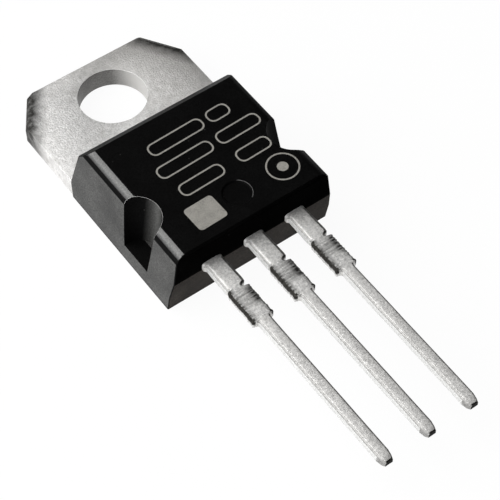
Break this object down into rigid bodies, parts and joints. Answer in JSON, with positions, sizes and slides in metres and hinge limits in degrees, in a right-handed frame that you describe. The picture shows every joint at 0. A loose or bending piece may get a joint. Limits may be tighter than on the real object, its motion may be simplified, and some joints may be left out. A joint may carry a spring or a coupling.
{
  "type": "voltage regulator",
  "caption": "Three-lead voltage regulator in a tab-mount plastic power package, with a drilled tinned heat tab, side notches and straight flat leads.",
  "frame": {"origin": "on the axis of the mounting hole, at the flat mounting face on the metal back", "axes": "+Z away from the mounting face, +Y to the free end of the tab, the leads run along -Y, +X to the input lead's side"},
  "size_m": [0.01, 0.0296, 0.0045],
  "materials": {
    "epoxy": "black moulding epoxy with a fine even grain",
    "tinned_metal": "matt tin plate over copper",
    "solder": "dull solder",
    "silicon": "polished silicon",
    "bond_wire": "drawn wire"
  },
  "bodies": {
    "root": {"moulded_body": "epoxy", "heat_tab": "tinned_metal", "adjust_lead": "tinned_metal", "input_lead": "tinned_metal", "die_solder": "solder", "regulator_die": "silicon", "adjust_wire": "bond_wire", "input_wire_inner": "bond_wire", "input_wire_outer": "bond_wire", "output_wire": "bond_wire"}
  },
  "joints": []
}
